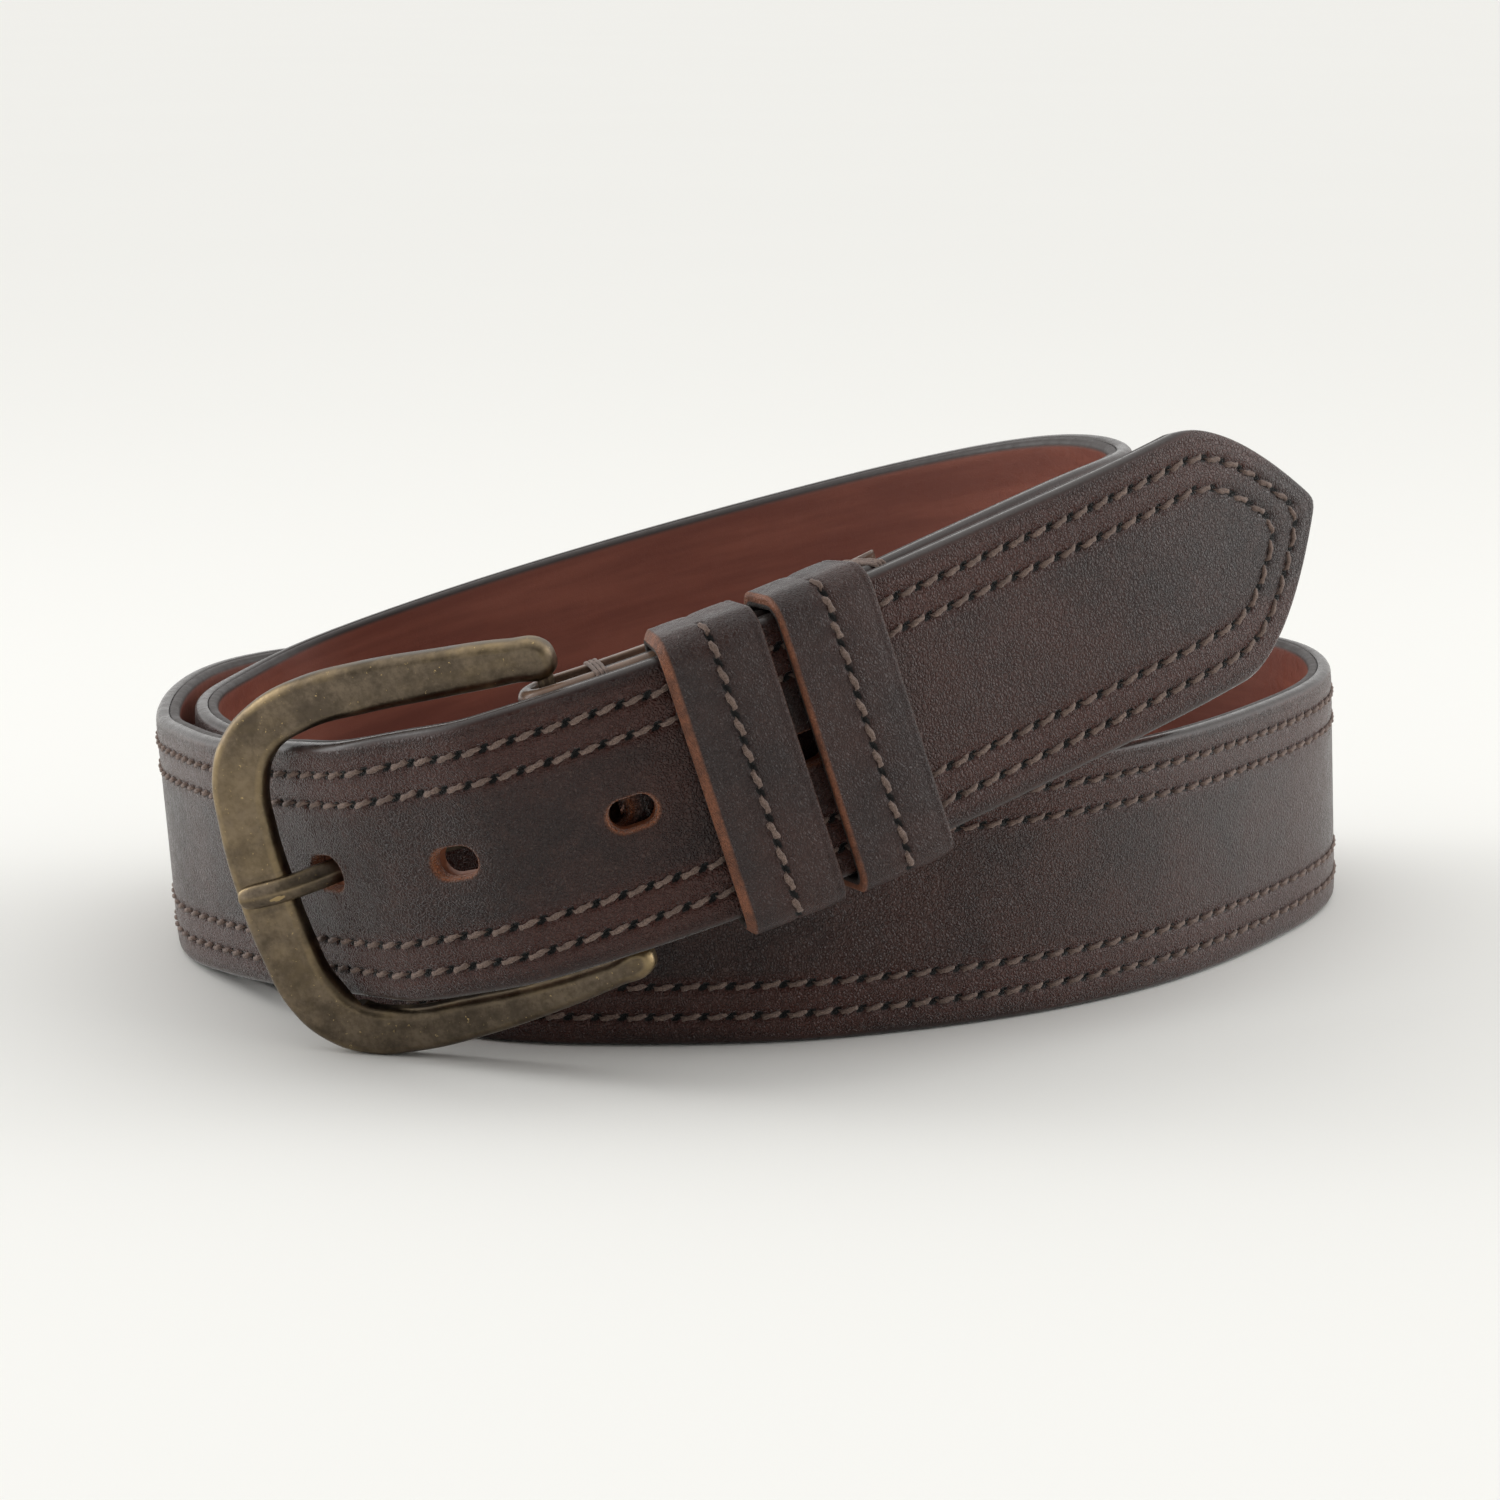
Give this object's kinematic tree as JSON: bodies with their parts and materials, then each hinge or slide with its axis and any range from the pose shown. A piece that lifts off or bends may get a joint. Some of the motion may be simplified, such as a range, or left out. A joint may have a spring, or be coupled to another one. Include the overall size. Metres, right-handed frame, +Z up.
{
  "type": "leather belt",
  "caption": "Coiled men's dress belt with a brass frame buckle fastened through the strap, two sliding keepers and a pointed end.",
  "frame": {"origin": "centre of the coiled belt's bounding box, on the surface that the lower ring stands on", "axes": "+Z up, the buckle faces -Y, and the pointed end is towards +X"},
  "size_m": [0.1903, 0.1686, 0.0854],
  "materials": {
    "outer_leather": "burnished dark brown full grain with a soft sheen",
    "lining_leather": "reddish brown, matt",
    "thread": "waxed brown thread",
    "antique_brass": "dark patina, rubbed through at the edges"
  },
  "bodies": {
    "belt": {"strap_outer": "outer_leather", "strap_lining": "lining_leather", "stitching_outer_row": "thread", "stitching_inner_row": "thread", "fold_stitch_near": "thread", "fold_stitch_far": "thread"},
    "buckle": {"buckle_frame": "antique_brass", "heel_bar": "antique_brass"},
    "tongue": {"prong": "antique_brass"},
    "first_keeper": {"keeper_1": "outer_leather", "keeper_1_stitching": "thread"},
    "second_keeper": {"keeper_2": "outer_leather", "keeper_2_stitching": "thread"}
  },
  "joints": [
    {"name": "buckle_tilt", "type": "hinge", "parent": "belt", "child": "buckle", "pos_m": [-0.02407, -0.07286, 0.03725], "axis": [-0.302, -0.0506, 0.952], "range_deg": [-0.4, 0.4]},
    {"name": "prong_lift", "type": "hinge", "parent": "buckle", "child": "tongue", "pos_m": [-0.02407, -0.07286, 0.03725], "axis": [-0.302, -0.0506, 0.952], "range_deg": [0, 1]},
    {"name": "first_keeper_slide", "type": "hinge", "parent": "belt", "child": "first_keeper", "pos_m": [-0.0286, 0.01776, 0.04063], "axis": [-0.302, -0.0506, 0.952], "range_deg": [-2.7, 0.7]},
    {"name": "second_keeper_slide", "type": "hinge", "parent": "belt", "child": "second_keeper", "pos_m": [-0.0286, 0.01776, 0.04063], "axis": [-0.302, -0.0506, 0.952], "range_deg": [-0.7, 2.4]}
  ]
}
